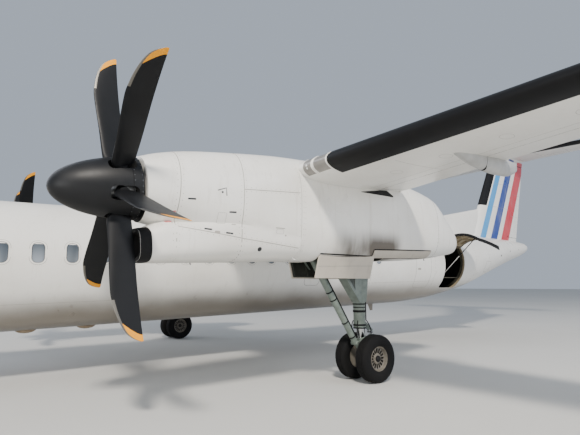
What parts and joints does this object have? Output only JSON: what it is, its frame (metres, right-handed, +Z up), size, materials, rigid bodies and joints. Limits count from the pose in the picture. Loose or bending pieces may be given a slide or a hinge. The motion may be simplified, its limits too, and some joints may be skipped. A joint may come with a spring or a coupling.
{
  "type": "turboprop airliner",
  "caption": "High-wing T-tail regional airliner with wing-mounted turboprops, feathered propellers, folding doors, control surfaces, flaps and wheels that turn.",
  "frame": {"origin": "on the ground under the middle of the overall box, in the aircraft's plane of symmetry", "axes": "+X to the aircraft's left, +Y towards the tail, +Z up"},
  "size_m": [28.42, 32.83, 8.342],
  "materials": {
    "white_paint": "gloss",
    "propeller_black": "satin",
    "spinner_black": "matt",
    "engine_metal": "dull",
    "exhaust_metal": "heat-stained",
    "leg_paint": "satin",
    "tyre_rubber": "matt",
    "wheel_metal": "satin"
  },
  "bodies": {
    "airframe": {"cowl_left": "white_paint", "cowl_right": "white_paint", "engine_left": "engine_metal", "engine_right": "engine_metal", "exhaust_left": "exhaust_metal", "exhaust_right": "exhaust_metal", "fin": "white_paint", "fuselage_aft": "white_paint", "fuselage_centre": "white_paint", "fuselage_forward": "white_paint", "fuselage_nose": "white_paint", "gear_door_inner_left": "white_paint", "gear_door_inner_right": "white_paint", "gear_door_outer_left": "white_paint", "gear_door_outer_right": "white_paint", "main_leg_left": "leg_paint", "main_leg_right": "leg_paint", "nacelle_left": "white_paint", "nacelle_right": "white_paint", "nose_door_left": "white_paint", "nose_door_right": "white_paint", "nose_leg": "leg_paint", "tail_cone": "white_paint", "tailplane": "white_paint", "wing_centre": "white_paint", "wing_fairing": "white_paint", "wing_left": "white_paint", "wing_right": "white_paint"},
    "propeller_left_unit": {"propeller_left": "propeller_black", "spinner_left": "spinner_black"},
    "propeller_right_unit": {"propeller_right": "propeller_black", "spinner_right": "spinner_black"},
    "main_wheels_left": {"main_tyre_outer_left": "tyre_rubber", "main_hub_outer_left": "wheel_metal", "main_tyre_inner_left": "tyre_rubber", "main_hub_inner_left": "wheel_metal"},
    "main_wheels_right": {"main_tyre_outer_right": "tyre_rubber", "main_hub_outer_right": "wheel_metal", "main_tyre_inner_right": "tyre_rubber", "main_hub_inner_right": "wheel_metal"},
    "nose_wheel_fork": {"nose_fork": "leg_paint"},
    "nose_wheels": {"nose_tyre_left": "tyre_rubber", "nose_hub_left": "wheel_metal", "nose_tyre_right": "tyre_rubber", "nose_hub_right": "wheel_metal"},
    "airstair": {"airstair_door": "white_paint"},
    "baggage_hatch": {"baggage_door": "white_paint"},
    "rudder_unit": {"rudder": "white_paint"},
    "elevator_left_unit": {"elevator_left": "white_paint"},
    "elevator_right_unit": {"elevator_right": "white_paint"},
    "aileron_left_unit": {"aileron_left": "white_paint"},
    "aileron_right_unit": {"aileron_right": "white_paint"},
    "flap_outer_left_unit": {"flap_outer_left": "white_paint"},
    "flap_outer_right_unit": {"flap_outer_right": "white_paint"},
    "flap_inner_left_unit": {"flap_inner_left": "white_paint"},
    "flap_inner_right_unit": {"flap_inner_right": "white_paint"}
  },
  "joints": [
    {"name": "propeller_left_spin", "type": "hinge", "parent": "airframe", "child": "propeller_left_unit", "pos_m": [4.4, -5.217, 3.073], "axis": [0, 0.9967, 0.0809], "continuous": true},
    {"name": "propeller_right_spin", "type": "hinge", "parent": "airframe", "child": "propeller_right_unit", "pos_m": [-4.4, -5.217, 3.073], "axis": [0, 0.9967, 0.0809], "continuous": true},
    {"name": "main_wheels_left_spin", "type": "hinge", "parent": "airframe", "child": "main_wheels_left", "pos_m": [4.4, -0.476, 0.43], "axis": [1, 0, 0], "continuous": true},
    {"name": "main_wheels_right_spin", "type": "hinge", "parent": "airframe", "child": "main_wheels_right", "pos_m": [-4.4, -0.476, 0.43], "axis": [1, 0, 0], "continuous": true},
    {"name": "nose_steering", "type": "hinge", "parent": "airframe", "child": "nose_wheel_fork", "pos_m": [0, -14.48, 0.64], "axis": [0, 0, 1], "range_deg": [-60, 60]},
    {"name": "nose_wheels_spin", "type": "hinge", "parent": "nose_wheel_fork", "child": "nose_wheels", "pos_m": [0, -14.425, 0.28], "axis": [1, 0, 0], "continuous": true},
    {"name": "airstair_door_hinge", "type": "hinge", "parent": "airframe", "child": "airstair", "pos_m": [0.972, -12.495, 1.19], "axis": [0, 1, 0], "range_deg": [0, 125]},
    {"name": "baggage_door_hinge", "type": "hinge", "parent": "airframe", "child": "baggage_hatch", "pos_m": [1.122, 7.61, 3.175], "axis": [0, -1, 0], "range_deg": [-101, 0]},
    {"name": "rudder_hinge", "type": "hinge", "parent": "airframe", "child": "rudder_unit", "pos_m": [0, 14.00324, 4.01], "axis": [0, 0.3021, 0.9533], "range_deg": [-18, 18]},
    {"name": "elevator_left_hinge", "type": "hinge", "parent": "airframe", "child": "elevator_left_unit", "pos_m": [0.24, 15.755, 8.09], "axis": [1, 0, 0], "range_deg": [-20, 25]},
    {"name": "elevator_right_hinge", "type": "hinge", "parent": "airframe", "child": "elevator_right_unit", "pos_m": [-0.24, 15.755, 8.09], "axis": [1, 0, 0], "range_deg": [-20, 25]},
    {"name": "aileron_left_hinge", "type": "hinge", "parent": "airframe", "child": "aileron_left_unit", "pos_m": [10.33, -0.7406, 3.9332], "axis": [-0.9983, 0.0393, -0.0435], "range_deg": [-20, 20]},
    {"name": "aileron_right_hinge", "type": "hinge", "parent": "airframe", "child": "aileron_right_unit", "pos_m": [-10.33, -0.7406, 3.9332], "axis": [-0.9983, -0.0393, 0.0435], "range_deg": [-20, 20]},
    {"name": "flap_outer_left_hinge", "type": "hinge", "parent": "airframe", "child": "flap_outer_left_unit", "pos_m": [5.01, -0.53097, 3.46659], "axis": [-0.9983, 0.0393, -0.0435], "range_deg": [0, 35]},
    {"name": "flap_outer_right_hinge", "type": "hinge", "parent": "airframe", "child": "flap_outer_right_unit", "pos_m": [-5.01, -0.53097, 3.46659], "axis": [-0.9983, -0.0393, 0.0435], "range_deg": [0, 35]},
    {"name": "flap_inner_left_hinge", "type": "hinge", "parent": "airframe", "child": "flap_inner_left_unit", "pos_m": [1.5, -0.50693, 3.44004], "axis": [-1, 0, 0], "range_deg": [0, 35]},
    {"name": "flap_inner_right_hinge", "type": "hinge", "parent": "airframe", "child": "flap_inner_right_unit", "pos_m": [-1.5, -0.50693, 3.44004], "axis": [-1, 0, 0], "range_deg": [0, 35]}
  ],
  "couplings": [
    {"joint": "elevator_right_hinge", "follows": "elevator_left_hinge", "ratio": 1},
    {"joint": "aileron_right_hinge", "follows": "aileron_left_hinge", "ratio": -1},
    {"joint": "flap_outer_right_hinge", "follows": "flap_outer_left_hinge", "ratio": 1},
    {"joint": "flap_inner_left_hinge", "follows": "flap_outer_left_hinge", "ratio": 1},
    {"joint": "flap_inner_right_hinge", "follows": "flap_outer_left_hinge", "ratio": 1}
  ]
}
